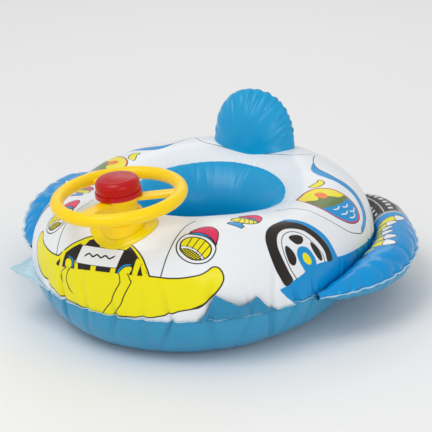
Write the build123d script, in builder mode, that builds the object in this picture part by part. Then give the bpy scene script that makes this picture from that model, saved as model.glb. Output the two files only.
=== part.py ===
"""Inflatable baby seat float in the shape of a little car, with a steering wheel and a press horn.

Millimetres, +Z up, nose towards -Y.  The origin is on the floor, under the middle of the float.
A bearing is an angle round the ring: 0 is +X, 90 the tail and -90 the nose.
A lift is an angle round the ring's cross-section: 0 outermost, 90 the crest, 180 innermost.
"""

from build123d import *

import os
from math import asin, atan2, cos, degrees, radians, sin

# ---------------------------------------------------------------- driving dimensions
nose_reach = 318.0          # ring centre to the outside of the ring, at the nose
tail_reach = 289.0          # the same at the tail
waist_reach = 250.0         # and at the sides
nose_well = 140.0           # ring centre to the inside of the ring, at the nose
tail_well = 77.0
waist_well = 84.0
nose_height = 198.0         # height of the air chamber at the nose
tail_height = 185.0
waist_height = 174.0
foot_half_width = 12.0      # half of the flat strip that the ring rests on
film = 1.0                  # thickness of every film sheet
gap = 0.3                   # clearance between neighbouring sheets and fittings

nose_fullness = 2.7         # exponent of the upper front quarter at the nose; 2 is an ellipse
seam_height = 76.0          # level of the outer weld
rim_lift = 125.0            # lift of the weld between top sheet and well wall
weld_split = 0.4            # degrees of lift left open at a weld
flange_width = 8.0          # outer weld margin
sling_level = 17.5          # underside of the seat sheet
leg_hole_length = 104.0
leg_hole_width = 62.0
leg_hole_spread = 46.0      # middle of the seat to the middle of each leg hole
leg_hole_forward = 12.0

right_flap_bearing = -57.0  # middle of the pointed corner of film that is folded up
left_flap_bearing = -130.0  # and of the one that sticks out
flap_half_span = 11.5
flap_reach = 38.0           # how far the flat corner sticks out
flap_tip_rise = 12.0
flap_fold_span = 14.0       # how far the folded corner lies up the ring, in degrees of lift

tube_bearings = (-27.0, -17.0, -7.0, 4.0, 18.0, 32.0, 45.0, 54.0, 61.0, 67.0)
tube_fullness = (0.26, 0.56, 0.82, 0.97, 1.0, 0.94, 0.91, 0.76, 0.46, 0.12)
tube_width = 69.0           # widest part of a side tube
tube_roundness = 0.9        # height of its section over the width
tube_weld_width = 4.0

backrest_width = 140.0
backrest_depth = 82.0
backrest_height = 91.0      # above the crest of the tail
backrest_root = 18.0        # how far its form reaches down below the crest
backrest_taper = 2.6        # exponent of its narrowing towards the top

wheel_lean_forward = 4.2    # degrees that the steering axis leans towards the nose
wheel_lean_left = 4.6
steering_reach = 262.0      # ring centre to the foot of the steering axis
steering_bearing = -92.8
patch_diameter = 100.0
patch_setback = 4.0            # the patch curls down the nose, so its outline seen along the axis is shorter there
socket_foot_diameter = 64.0
socket_waist_diameter = 57.0
socket_collar_diameter = 61.0
socket_foot_top = 6.0
socket_waist_top = 11.0
socket_top = 19.0           # above the foot of the axis, as are the next heights
post_diameter = 24.0
post_bore = 12.0
post_top = 33.0
running_clearance = 0.08    # radial
hub_diameter = 50.0
hub_flare_diameter = 62.0
hub_floor = 27.0
hub_flare_start = 31.0
hub_top = 43.5
hub_wall = 3.0
rim_radius = 88.5
rim_thickness = 19.0
rim_level = 41.4
spoke_width = 20.0
spoke_thickness = 5.0
spoke_root_drop = 2.0       # top of a spoke's root below the top of the hub
spoke_count = 3
first_spoke = 19.0
ring_groove_depth = 1.5
ring_thickness = 2.0
ring_diameter = 34.0

horn_diameter = 67.0
horn_lip_height = 7.0
horn_wall = 1.6
horn_cap_diameter = 63.4
horn_cap_top = 72.5
horn_cap_wall = 2.0
horn_cap_corner = 9.0
horn_crown = 2.5
horn_insertion = 1.0        # how far the cap's skirt stands inside the lip
bulb_diameter = 40.0
reed_diameter = 15.0
reed_length = 8.0

valve_bore = 6.6
valve_neck_diameter = 11.0
valve_neck_height = 10.0
valve_flange_diameter = 26.0
valve_flange_thickness = 1.0
valve_standoff = 1.6        # flange above the film's nearest point
valve_sleeve_diameter = 9.0
valve_sleeve_depth = 7.0
plug_clearance = 0.05       # radial
plug_length = 7.0
plug_cap_thickness = 2.0
strap_width = 3.0
strap_thickness = 1.2
flap_thickness = 0.6
hull_valve_bearing = 100.0
hull_valve_lift = 35.0
tube_valve_bearing = 38.0
tube_valve_swing = -62.0    # round the tube's section, from straight out
backrest_valve_rise = 26.0  # above the crest of the tail

# ---------------------------------------------------------------- shared geometry
wheel_axis_y = -sin(radians(wheel_lean_forward))
wheel_front = (steering_reach * sin(radians(-steering_bearing)) - rim_level * wheel_axis_y
               + rim_radius * (1 - wheel_axis_y ** 2) ** 0.5 + rim_thickness / 2)
HALF_RING = tuple(range(-105, 106, 15))
os.makedirs("parts", exist_ok=True)


def around(waist, nose, tail, bearing, nose_power=2.0, tail_power=1.5):
    """A size that runs smoothly from its value at the waist to those at nose and tail."""
    swing = sin(radians(bearing))
    if swing < 0:
        return waist + (nose - waist) * (-swing) ** nose_power
    return waist + (tail - waist) * swing ** tail_power


def ring_size(bearing):
    """Outer reach, inner reach and half height of the ring at a bearing."""
    outer = around(waist_reach, nose_reach, tail_reach, bearing)
    inner = around(waist_well, nose_well, tail_well, bearing, nose_power=4.0)
    height = around(waist_height, nose_height, tail_height, bearing)
    return outer, inner, height / 2


def ring_point(bearing, lift, grow=0.0):
    """Radius and height of a point of the ring's section, grown outwards by grow."""
    outer, inner, half_height = ring_size(bearing)
    middle, half_width = (outer + inner) / 2, (outer - inner) / 2
    angle = radians(lift)
    if 0 < lift < 90:
        power = 2 / around(2.0, nose_fullness, 2.0, bearing, nose_power=4.0)
        radius = middle + (half_width + grow) * cos(angle) ** power
        return radius, half_height + (half_height + grow) * sin(angle) ** power
    if 0 <= lift <= 180:
        radius = middle + (half_width + grow) * cos(angle)
    elif lift < 0 and lift >= -90:
        radius = middle + foot_half_width + (half_width - foot_half_width + grow) * cos(angle)
    else:
        radius = middle - foot_half_width + (half_width - foot_half_width + grow) * cos(angle)
    return radius, half_height + (half_height + grow) * sin(angle)


def lift_at_level(bearing, level):
    """Lift of the inner wall's point at a level below the middle of the section."""
    half_height = ring_size(bearing)[2]
    return 180 + degrees(asin(1 - level / half_height))


def seam_drop(bearing):
    """How many degrees of lift the outer weld lies below the widest line."""
    return degrees(asin(1 - seam_height / ring_size(bearing)[2]))


def seam_radius(bearing):
    return ring_point(bearing, -seam_drop(bearing))[0]


# The weld margin at the tail and the wheel's rim at the nose are equally far from the origin.
ring_centre_y = (wheel_front - seam_radius(90) - gap - flange_width) / 2
ring_centre = Vector(0, ring_centre_y, 0)


def section_plane(bearing):
    """Upright plane through the ring's middle: local x is the radius, local y the height."""
    angle = radians(bearing)
    return Plane(origin=ring_centre, x_dir=(cos(angle), sin(angle), 0), z_dir=(sin(angle), -cos(angle), 0))


def on_ring(bearing, radius, height):
    angle = radians(bearing)
    return ring_centre + Vector(radius * cos(angle), radius * sin(angle), height)


def steps(start, end, count):
    return [start + (end - start) * i / count for i in range(count + 1)]


def draw_band(outer_spans, inner_spans):
    """Closed outline of a film: the outer spans, and the inner spans back again."""
    for spans in (outer_spans, inner_spans):
        for points in spans:
            if len(points) == 2:
                Line(*points)
            else:
                Spline(*points)
    Line(outer_spans[0][0], inner_spans[0][0])
    Line(outer_spans[-1][-1], inner_spans[-1][-1])


def ring_film(label, spans_at, bearings=HALF_RING, whole=True):
    """A film swept round the ring; spans_at gives a bearing's outer and inner outline."""
    with BuildPart() as sheet:
        for bearing in bearings:
            with BuildSketch(section_plane(bearing)):
                with BuildLine():
                    draw_band(*spans_at(bearing))
                make_face()
        loft()
        if whole:
            split(bisect_by=Plane.YZ, keep=Keep.TOP)
            mirror(about=Plane.YZ)
    sheet.part.label = label
    return sheet


def curve_span(bearing, first, last, grow, count=12):
    return [ring_point(bearing, lift, grow) for lift in steps(first, last, count)]


def save(piece, label=None):
    if label:
        piece.part.label = label
    export_step(piece.part, f"parts/{piece.part.label}.step")


# ---------------------------------------------------------------- hull: three film sheets
def top_spans(bearing):
    first = -seam_drop(bearing) + weld_split
    return [[curve_span(bearing, first, rim_lift, grow)] for grow in (0.0, -film)]


def wall_spans(bearing):
    last = lift_at_level(bearing, sling_level + film + gap)
    return [[curve_span(bearing, rim_lift + weld_split, last, grow)] for grow in (0.0, -film)]


def bottom_spans(bearing):
    first = -seam_drop(bearing) - weld_split
    last = lift_at_level(bearing, sling_level - gap)
    sides = []
    for grow in (0.0, -film):
        outer = curve_span(bearing, first, -90, grow, count=6)
        inner = curve_span(bearing, 270, last, grow, count=6)
        sides.append([outer, [outer[-1], inner[0]], inner])
    return sides


def deck_form(first, last, grow):
    """Solid form of the ring's upper half between two bearings, to cut fittings to it."""
    with BuildPart() as form:
        for bearing in steps(first, last, 6):
            arch = curve_span(bearing, 0, 180, grow)
            with BuildSketch(section_plane(bearing)):
                with BuildLine():
                    Spline(*arch)
                    Line(arch[-1], arch[0])
                make_face()
        loft()
    return form.part


def surface_plane(bearing, lift, grow=0.0):
    """Plane on the ring's surface, facing outwards."""
    radius, height = ring_point(bearing, lift, grow)
    before, after = ring_point(bearing, lift - 0.5), ring_point(bearing, lift + 0.5)
    slope = atan2(before[0] - after[0], after[1] - before[1])
    turn = radians(bearing)
    outward = (cos(slope) * cos(turn), cos(slope) * sin(turn), sin(slope))
    return Plane(origin=on_ring(bearing, radius, height), x_dir=(-sin(turn), cos(turn), 0), z_dir=outward)


hull_valve_plane = surface_plane(hull_valve_bearing, hull_valve_lift)
hull_top_sheet = ring_film("hull_top_sheet", top_spans)
with BuildPart() as hull_top_with_hole:
    add(hull_top_sheet.part)
    with BuildSketch(hull_valve_plane):
        Circle(valve_sleeve_diameter / 2 + gap)
    extrude(amount=4 * film, both=True, mode=Mode.SUBTRACT)
save(hull_top_with_hole, "hull_top_sheet")
save(ring_film("hull_well_wall", wall_spans))
save(ring_film("hull_bottom_sheet", bottom_spans))


# ---------------------------------------------------------------- outer weld margin and corners
def flange_spans(bearing):
    start = seam_radius(bearing) + gap
    top, bottom = seam_height + film / 2, seam_height - film / 2
    return [[[(start, height), (start + flange_width, height)]] for height in (top, bottom)]


front_span = (-105, -90, -75, -60, -45, tube_bearings[0] - 1)
rear_span = (tube_bearings[-1] + 1, 75, 90, 105)
save(ring_film("front_weld_margin", flange_spans, front_span))
save(ring_film("rear_weld_margin", flange_spans, rear_span))


def corner_share(bearing, middle):
    """How far a pointed corner reaches: 0.12 at its ends and 1 in its middle."""
    return 1 - 0.88 * min(1.0, abs(bearing - middle) / flap_half_span)


def flat_corner_spans(bearing):
    start = seam_radius(bearing) + flange_width + 2 * gap
    share = corner_share(bearing, left_flap_bearing)
    end, rise = start + flap_reach * share, flap_tip_rise * share
    top = [(start, seam_height + film / 2), (end, seam_height + rise + film / 2)]
    bottom = [(start, seam_height - film / 2), (end, seam_height + rise - film / 2)]
    return [[top], [bottom]]


def folded_corner_spans(bearing):
    first = -seam_drop(bearing) + 3
    last = first + flap_fold_span * corner_share(bearing, right_flap_bearing)
    return [[curve_span(bearing, first, last, grow, count=4)] for grow in (film + 1.5 * gap, 1.5 * gap)]


right_corner = steps(right_flap_bearing - flap_half_span, right_flap_bearing + flap_half_span, 4)
left_corner = steps(left_flap_bearing - flap_half_span, left_flap_bearing + flap_half_span, 4)
save(ring_film("right_corner_flap", folded_corner_spans, right_corner, whole=False))
save(ring_film("left_corner_flap", flat_corner_spans, left_corner, whole=False))

# ---------------------------------------------------------------- seat sheet with leg holes
with BuildPart() as seat_sheet:
    with BuildSketch(Plane.XY.offset(sling_level)):
        with BuildLine():
            edge = []
            for bearing in range(0, 360, 15):
                folded = bearing if bearing <= 180 else bearing - 360
                level_lift = lift_at_level(folded, sling_level + film / 2)
                edge.append(on_ring(bearing, ring_point(folded, level_lift, -film)[0], 0))
            Spline(*edge, periodic=True)
        make_face()
        with Locations((leg_hole_spread, ring_centre_y - leg_hole_forward),
                       (-leg_hole_spread, ring_centre_y - leg_hole_forward)):
            Ellipse(leg_hole_width / 2, leg_hole_length / 2, mode=Mode.SUBTRACT)
    extrude(amount=film)
save(seat_sheet, "seat_sheet")


# ---------------------------------------------------------------- side tubes
def tube_section(bearing, share):
    """Middle radius, half width and half height of a side tube's section."""
    half_width = tube_width * share / 2
    outer = ring_size(bearing)[0]
    return outer + gap + half_width, half_width, half_width * tube_roundness


def tube_arc(bearing, share, first, last, shrink):
    middle, half_width, half_height = tube_section(bearing, share)
    points = []
    for swing in steps(first, last, 10):
        angle = radians(swing)
        radius = middle + (half_width - shrink) * cos(angle)
        points.append((radius, seam_height + (half_height - shrink) * sin(angle)))
    return points


def tube_film(label, side, first, last):
    """Upper or lower film of a side tube; side is 1 for +X and -1 for -X."""
    with BuildPart() as skin:
        for bearing, share in zip(tube_bearings, tube_fullness):
            placed = bearing if side > 0 else 180 - bearing
            with BuildSketch(section_plane(placed)):
                with BuildLine():
                    draw_band(
                        [tube_arc(bearing, share, first, last, 0)],
                        [tube_arc(bearing, share, first, last, film)],
                    )
                make_face()
        loft()
    skin.part.label = label
    return skin


def tube_weld(label, side):
    with BuildPart() as margin:
        for bearing, share in zip(tube_bearings, tube_fullness):
            placed = bearing if side > 0 else 180 - bearing
            middle, half_width, _ = tube_section(bearing, share)
            start, level = middle + half_width + gap, seam_height
            with BuildSketch(section_plane(placed)):
                with BuildLine():
                    Polyline(
                        (start, level - film / 2),
                        (start + tube_weld_width, level - film / 2),
                        (start + tube_weld_width, level + film / 2),
                        (start, level + film / 2),
                        close=True,
                    )
                make_face()
        loft()
    margin.part.label = label
    return margin


def tube_valve_plane(side):
    """Plane on the underside of a side tube, facing down and outwards."""
    share = 0.92
    middle, half_width, half_height = tube_section(tube_valve_bearing, share)
    angle = radians(tube_valve_swing)
    turn = radians(tube_valve_bearing if side > 0 else 180 - tube_valve_bearing)
    radius = middle + half_width * cos(angle)
    height = seam_height + half_height * sin(angle)
    slope = atan2(sin(angle) / half_height, cos(angle) / half_width)
    outward = (cos(slope) * cos(turn), cos(slope) * sin(turn), sin(slope))
    origin = ring_centre + Vector(radius * cos(turn), radius * sin(turn), height)
    return Plane(origin=origin, x_dir=(-sin(turn), cos(turn), 0), z_dir=outward)


tube_opening = degrees(gap / tube_width)
valve_planes = {"hull": hull_valve_plane}
for side_name, side in (("left", -1), ("right", 1)):
    upper = tube_film(f"{side_name}_tube_upper_film", side, tube_opening, 180 - tube_opening)
    lower = tube_film(f"{side_name}_tube_lower_film", side, -tube_opening, -180 + tube_opening)
    plane = tube_valve_plane(side)
    valve_planes[f"{side_name}_tube"] = plane
    with BuildPart() as lower_with_hole:
        add(lower.part)
        with BuildSketch(plane):
            Circle(valve_sleeve_diameter / 2 + gap)
        extrude(amount=4 * film, both=True, mode=Mode.SUBTRACT)
    save(upper)
    save(lower_with_hole, lower.part.label)
    save(tube_weld(f"{side_name}_tube_weld_margin", side))

# ---------------------------------------------------------------- backrest
tail_middle, tail_half_width, tail_half_height = (
    (tail_reach + tail_well) / 2,
    (tail_reach - tail_well) / 2,
    tail_height / 2,
)
backrest_y = ring_centre_y + tail_middle
tail_form = deck_form(60, 120, gap)


def backrest_narrowing(share):
    """Width of the pillow at a share of its height, over its width at the root."""
    return (1 - share ** backrest_taper) ** 0.5


def backrest_form(shrink):
    """The pillow's solid form, lofted from ellipses that close towards the top."""
    full_height = backrest_height + backrest_root - shrink
    with BuildPart() as form:
        for share in (0, 0.2, 0.4, 0.6, 0.75, 0.87, 0.95, 0.99):
            level = tail_height - backrest_root + full_height * share
            narrowing = backrest_narrowing(share)
            with BuildSketch(Plane.XY.offset(level)):
                with Locations((0, backrest_y)):
                    Ellipse(
                        (backrest_width / 2 - shrink) * narrowing,
                        (backrest_depth / 2 - shrink) * narrowing,
                    )
        loft()
    return form.part


backrest_outer = backrest_form(0)
backrest_inner = backrest_form(film)
backrest_valve_share = (backrest_root + backrest_valve_rise) / (backrest_height + backrest_root)
backrest_valve_y = backrest_y + backrest_depth / 2 * backrest_narrowing(backrest_valve_share)
backrest_slope = (backrest_depth / 2 * backrest_taper * backrest_valve_share ** (backrest_taper - 1)
                  / (2 * backrest_narrowing(backrest_valve_share)) / (backrest_height + backrest_root))
backrest_valve_plane = Plane(
    origin=(0, backrest_valve_y, tail_height + backrest_valve_rise),
    x_dir=(1, 0, 0),
    z_dir=(0, 1, backrest_slope),
)
valve_planes["backrest"] = backrest_valve_plane

with BuildPart() as backrest_front_panel:
    add(backrest_outer)
    add(backrest_inner, mode=Mode.SUBTRACT)
    add(tail_form, mode=Mode.SUBTRACT)
    split(bisect_by=Plane.XZ.offset(-backrest_y + gap / 2), keep=Keep.TOP)
save(backrest_front_panel, "backrest_front_panel")

with BuildPart() as backrest_rear_panel:
    add(backrest_outer)
    add(backrest_inner, mode=Mode.SUBTRACT)
    add(tail_form, mode=Mode.SUBTRACT)
    split(bisect_by=Plane.XZ.offset(-backrest_y - gap / 2), keep=Keep.BOTTOM)
    with BuildSketch(backrest_valve_plane):
        Circle(valve_sleeve_diameter / 2 + gap)
    extrude(amount=4 * film, both=True, mode=Mode.SUBTRACT)
save(backrest_rear_panel, "backrest_rear_panel")

# ---------------------------------------------------------------- steering column
nose_middle, nose_half_width = (nose_reach + nose_well) / 2, (nose_reach - nose_well) / 2
steering_share = (steering_reach - nose_middle) / nose_half_width
steering_level = nose_height / 2 * (1 + (1 - steering_share ** nose_fullness) ** (1 / nose_fullness))
steering_foot = on_ring(steering_bearing, steering_reach, steering_level + gap + film)
steering_axis_dir = Vector(
    -sin(radians(wheel_lean_left)), -sin(radians(wheel_lean_forward)), cos(radians(wheel_lean_forward))
).normalized()
steering_x = (Vector(1, 0, 0) - steering_axis_dir * steering_axis_dir.X).normalized()
steering = Plane(origin=steering_foot, x_dir=steering_x, z_dir=steering_axis_dir)
steering_section = Plane(origin=steering_foot, x_dir=steering_x, z_dir=-steering.y_dir)
steering_axis = Axis(steering_foot, steering_axis_dir)

with BuildPart() as steering_patch:
    for bearing in steps(-120, -65, 6):
        with BuildSketch(section_plane(bearing)):
            with BuildLine():
                draw_band(
                    [curve_span(bearing, 25, 120, gap + film)],
                    [curve_span(bearing, 25, 120, gap)],
                )
            make_face()
    loft()
    with BuildSketch(steering.offset(-patch_diameter / 2)):
        with Locations((0, patch_setback)):
            Ellipse(patch_diameter / 2, patch_diameter / 2 - patch_setback)
    extrude(amount=patch_diameter, mode=Mode.INTERSECT)
save(steering_patch, "steering_patch")

patch_form = deck_form(-120, -65, 2 * gap + film)
ring_seat = hub_floor + gap
post_radius = post_diameter / 2
groove_radius = post_radius - ring_groove_depth

with BuildPart() as steering_socket:
    with BuildSketch(steering.offset(-socket_foot_diameter / 2)):
        Circle(socket_foot_diameter / 2)
    extrude(amount=socket_foot_diameter / 2 + socket_foot_top)
    with BuildSketch(steering_section):
        with BuildLine():
            Polyline(
                (0, 0),
                (socket_waist_diameter / 2, 0),
                (socket_waist_diameter / 2, socket_waist_top),
                (socket_collar_diameter / 2, socket_waist_top),
                (socket_collar_diameter / 2, socket_top),
                (post_radius, socket_top),
                (post_radius, ring_seat),
                (groove_radius, ring_seat),
                (groove_radius, ring_seat + ring_thickness + 2 * gap),
                (post_radius, ring_seat + ring_thickness + 2 * gap),
                (post_radius, post_top),
                (0, post_top),
                close=True,
            )
        make_face()
    revolve(axis=steering_axis)
    add(patch_form, mode=Mode.SUBTRACT)
    with BuildSketch(steering.offset(socket_waist_top)):
        Circle(post_bore / 2)
    extrude(amount=post_top, mode=Mode.SUBTRACT)
save(steering_socket, "steering_socket")

with BuildPart() as wheel_retaining_ring:
    with BuildSketch(steering.offset(ring_seat + gap)):
        Circle(ring_diameter / 2)
        Circle(groove_radius + gap / 2, mode=Mode.SUBTRACT)
        with Locations((0, ring_diameter / 4)):
            Rectangle(2 * groove_radius - 5, ring_diameter / 2, mode=Mode.SUBTRACT)
    extrude(amount=ring_thickness)
save(wheel_retaining_ring, "wheel_retaining_ring")

bore_radius = post_radius + running_clearance
with BuildPart() as steering_wheel:
    with BuildSketch(steering_section):
        with BuildLine():
            Polyline(
                (bore_radius, socket_top + gap),
                (hub_diameter / 2, socket_top + gap),
                (hub_diameter / 2, hub_flare_start),
                (hub_flare_diameter / 2, hub_top),
                (hub_flare_diameter / 2 - 2 * hub_wall, hub_top),
                (hub_diameter / 2 - hub_wall, hub_flare_start + hub_wall),
                (hub_diameter / 2 - hub_wall, hub_floor),
                (bore_radius, hub_floor),
                close=True,
            )
        make_face()
    revolve(axis=steering_axis)
    with BuildSketch(steering_section):
        with Locations((rim_radius, rim_level)):
            Circle(rim_thickness / 2)
    revolve(axis=steering_axis)
    spoke_root = hub_flare_diameter / 2 - hub_wall
    spoke_tip = rim_radius - rim_thickness / 4
    for turn in steps(first_spoke, first_spoke + 360 * (spoke_count - 1) / spoke_count, spoke_count - 1):
        direction = steering.x_dir * cos(radians(turn)) + steering.y_dir * sin(radians(turn))
        spoke_plane = Plane(
            origin=steering_foot, x_dir=direction, z_dir=direction.cross(steering_axis_dir)
        )
        with BuildSketch(spoke_plane):
            with BuildLine():
                Polyline(
                    (spoke_root, hub_top - spoke_root_drop - spoke_thickness),
                    (spoke_root, hub_top - spoke_root_drop),
                    (spoke_tip, rim_level + spoke_thickness / 2),
                    (spoke_tip, rim_level - spoke_thickness / 2),
                    close=True,
                )
            make_face()
        extrude(amount=spoke_width / 2, both=True)
save(steering_wheel, "steering_wheel")

# ---------------------------------------------------------------- horn
horn_seat = hub_top + gap
horn_floor = horn_seat + horn_wall
horn_lip = horn_seat + horn_lip_height
cap_bottom = horn_lip - horn_insertion
cap_radius = horn_cap_diameter / 2
cap_shoulder = horn_cap_top - horn_crown - horn_cap_corner


def cap_profile(shrink, bottom):
    """Half outline of the domed cap, shrunk by the wall for its inside."""
    radius = cap_radius - shrink
    corner = horn_cap_corner - shrink
    crown_edge = radius - corner
    top = horn_cap_top - shrink
    Line((0, bottom), (radius, bottom))
    Line((radius, bottom), (radius, cap_shoulder))
    RadiusArc((radius, cap_shoulder), (crown_edge, cap_shoulder + corner), -corner)
    Spline((crown_edge, cap_shoulder + corner), (crown_edge / 2, top - horn_crown / 4), (0, top))
    Line((0, top), (0, bottom))


with BuildPart() as horn_base:
    with BuildSketch(steering_section):
        with BuildLine():
            Polyline(
                (reed_diameter / 2 + gap, horn_seat),
                (horn_diameter / 2, horn_seat),
                (horn_diameter / 2, horn_lip),
                (horn_diameter / 2 - horn_wall, horn_lip),
                (horn_diameter / 2 - horn_wall, horn_floor),
                (reed_diameter / 2 + gap, horn_floor),
                close=True,
            )
        make_face()
    revolve(axis=steering_axis)
save(horn_base, "horn_base")

with BuildPart() as horn_cap:
    with BuildSketch(steering_section):
        with BuildLine():
            cap_profile(0, cap_bottom)
        make_face()
    revolve(axis=steering_axis)
    with BuildSketch(steering_section):
        with BuildLine():
            cap_profile(horn_cap_wall, cap_bottom)
        make_face()
    revolve(axis=steering_axis, mode=Mode.SUBTRACT)
save(horn_cap, "horn_cap")

with BuildPart() as horn_bulb:
    with BuildSketch(steering.offset(horn_floor + gap)):
        Circle(bulb_diameter / 2)
    extrude(amount=cap_shoulder + horn_cap_corner - horn_cap_wall - horn_floor - 2 * gap)
    fillet(horn_bulb.edges(), bulb_diameter / 8)
save(horn_bulb, "horn_bulb")

with BuildPart() as squeaker_reed:
    with BuildSketch(steering.offset(horn_floor - reed_length + film)):
        Circle(reed_diameter / 2)
        Rectangle(reed_diameter / 2, film, mode=Mode.SUBTRACT)
    extrude(amount=reed_length - film)
save(squeaker_reed, "squeaker_reed")

# ---------------------------------------------------------------- valves
plug_radius = valve_bore / 2 - plug_clearance
neck_radius = valve_neck_diameter / 2
flange_level = valve_standoff + valve_flange_thickness
strap_ring_bottom = flange_level + gap
strap_ring_top = strap_ring_bottom + strap_thickness
cap_level = valve_neck_height + gap
cap_top = cap_level + plug_cap_thickness
strap_inner = neck_radius + gap
strap_reach = neck_radius + 4.5
flap_top = -valve_sleeve_depth - gap

for valve, plane in valve_planes.items():
    side_plane = Plane(origin=plane.origin, x_dir=plane.x_dir, z_dir=-plane.y_dir)
    stem = Axis(plane.origin, plane.z_dir)

    with BuildPart() as valve_body:
        with BuildSketch(side_plane):
            with BuildLine():
                Polyline(
                    (valve_bore / 2, -valve_sleeve_depth),
                    (valve_sleeve_diameter / 2, -valve_sleeve_depth),
                    (valve_sleeve_diameter / 2, valve_standoff),
                    (valve_flange_diameter / 2, valve_standoff),
                    (valve_flange_diameter / 2, flange_level),
                    (neck_radius, flange_level),
                    (neck_radius, valve_neck_height),
                    (valve_bore / 2, valve_neck_height),
                    close=True,
                )
            make_face()
        revolve(axis=stem)
    save(valve_body, f"{valve}_valve_body")

    with BuildPart() as stopper:
        with BuildSketch(plane.offset(cap_level)):
            Circle(neck_radius + gap)
        extrude(amount=plug_cap_thickness)
        with BuildSketch(plane.offset(valve_neck_height - plug_length)):
            Circle(plug_radius)
        extrude(amount=plug_length + gap)
        with BuildSketch(plane.offset(strap_ring_bottom)):
            Circle(neck_radius + gap + 2 * strap_thickness)
            Circle(neck_radius + gap, mode=Mode.SUBTRACT)
        extrude(amount=strap_thickness)
        with BuildSketch(side_plane):
            with BuildLine():
                Polyline(
                    (neck_radius, cap_top - strap_thickness),
                    (strap_reach - strap_thickness, cap_top - strap_thickness),
                    (strap_reach - strap_thickness, strap_ring_top),
                    (strap_inner + strap_thickness, strap_ring_top),
                    (strap_inner + strap_thickness, strap_ring_bottom),
                    (strap_reach, strap_ring_bottom),
                    (strap_reach, cap_top),
                    (neck_radius, cap_top),
                    close=True,
                )
            make_face()
        extrude(amount=strap_width / 2, both=True)
    save(stopper, f"{valve}_valve_stopper")

    with BuildPart() as check_flap:
        with BuildSketch(plane.offset(flap_top)):
            Circle(valve_sleeve_diameter / 2 - gap)
        extrude(amount=-flap_thickness)
    save(check_flap, f"{valve}_valve_flap")

# ---------------------------------------------------------------- joint data for the record
print("steering foot", tuple(steering_foot), "axis", tuple(steering_axis_dir))
for valve, plane in valve_planes.items():
    print(valve, "origin", tuple(plane.origin), "axis", tuple(plane.z_dir), "x", tuple(plane.x_dir))
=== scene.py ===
"""Inflatable baby seat float shaped like a small car: film, printing, fittings, light and camera.

Metres, +Z up, nose towards -Y.  A bearing is an angle round the ring (0 is +X, -90 the nose);
a lift is an angle round the ring's section (0 outermost, 90 the crest, 180 innermost).
"""

from math import pi, radians

import bpy
import numpy as np
from mathutils import Matrix, Vector


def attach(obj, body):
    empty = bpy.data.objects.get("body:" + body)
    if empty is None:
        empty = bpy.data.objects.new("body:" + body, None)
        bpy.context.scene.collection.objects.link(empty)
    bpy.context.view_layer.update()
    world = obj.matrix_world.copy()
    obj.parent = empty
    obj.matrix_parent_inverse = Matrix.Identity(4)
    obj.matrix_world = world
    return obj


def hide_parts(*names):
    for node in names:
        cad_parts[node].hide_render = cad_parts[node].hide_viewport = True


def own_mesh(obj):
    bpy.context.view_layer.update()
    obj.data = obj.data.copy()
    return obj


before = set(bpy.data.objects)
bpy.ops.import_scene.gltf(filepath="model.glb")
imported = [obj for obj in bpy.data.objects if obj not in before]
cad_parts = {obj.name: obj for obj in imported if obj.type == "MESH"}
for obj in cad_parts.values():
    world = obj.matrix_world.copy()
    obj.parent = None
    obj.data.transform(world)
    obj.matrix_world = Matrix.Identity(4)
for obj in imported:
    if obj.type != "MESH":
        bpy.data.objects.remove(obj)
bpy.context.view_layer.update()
scene = bpy.context.scene

# ------------------------------------------------------------------ camera
RING_Y = 0.033345                # middle of the ring, from the origin
camera_data = bpy.data.cameras.new("camera")
camera_data.lens, camera_data.sensor_width = 142.0, 36.0
camera_data.clip_end = 50
camera = bpy.data.objects.new("camera", camera_data)
scene.collection.objects.link(camera)
# Columns: the camera's right, its up, the way back from its view, and its place.
camera.matrix_world = Matrix((
    (0.9101, -0.1476, 0.3872, 1.0442),
    (0.4144, 0.3243, -0.8504, -2.2630 + RING_Y),
    (0.0, 0.9344, 0.3563, 1.0685),
    (0.0, 0.0, 0.0, 1.0),
))
scene.camera = camera

# ------------------------------------------------------------------ the ring's shape
OUTER = 0.250, 0.318, 0.289      # radius at the waist, the nose and the tail
INNER = 0.084, 0.140, 0.077
DEPTH = 0.174, 0.198, 0.185      # height of the section at the same three places
FOOT = 0.012                     # half of the flat strip underneath
SEAM_HEIGHT = 0.076              # weld between the top and the bottom sheet
RIM_LIFT = 125.0                 # weld between the top sheet and the well wall
SEAT_LEVEL = 0.0180
SECTION = 0.092                  # mean radius of the section, for lengths along it
FAR = 0.05                       # a distance past any that is drawn
rng = np.random.default_rng(7)


def around(sizes, bearing, nose_power=2.0, tail_power=1.5):
    """A size that runs smoothly from the waist to the nose and to the tail."""
    waist, nose, tail = sizes
    swing = np.sin(np.radians(bearing))
    size = np.abs(swing)
    return np.where(swing < 0, waist + (nose - waist) * size ** nose_power,
                    waist + (tail - waist) * size ** tail_power)


def ring_size(bearing):
    """Outer radius, inner radius and half the height of the ring."""
    return around(OUTER, bearing), around(INNER, bearing, 4.0), around(DEPTH, bearing) / 2


def squareness(bearing):
    """Power of the section's outer upper quarter: 2 is an ellipse, more is squarer."""
    return around((2.0, 2.7, 2.0), bearing, 4.0)


def ring_section(bearing, lift):
    """Radius and height of the ring's section."""
    outer, inner, half_height = ring_size(bearing)
    middle, half_width = (outer + inner) / 2, (outer - inner) / 2
    c, s = np.cos(np.radians(lift)), np.sin(np.radians(lift))
    power = 2 / squareness(bearing)
    front = (lift > 0) & (lift < 90)
    upper = (lift >= 0) & (lift <= 180)
    outside = (lift < 0) & (lift >= -90)
    radius = np.where(
        front, middle + half_width * np.abs(c) ** power,
        np.where(upper, middle + half_width * c,
                 np.where(outside, middle + FOOT + (half_width - FOOT) * c,
                          middle - FOOT + (half_width - FOOT) * c)))
    height = half_height * (1 + np.where(front, np.abs(s) ** power, s))
    return radius, height


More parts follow.
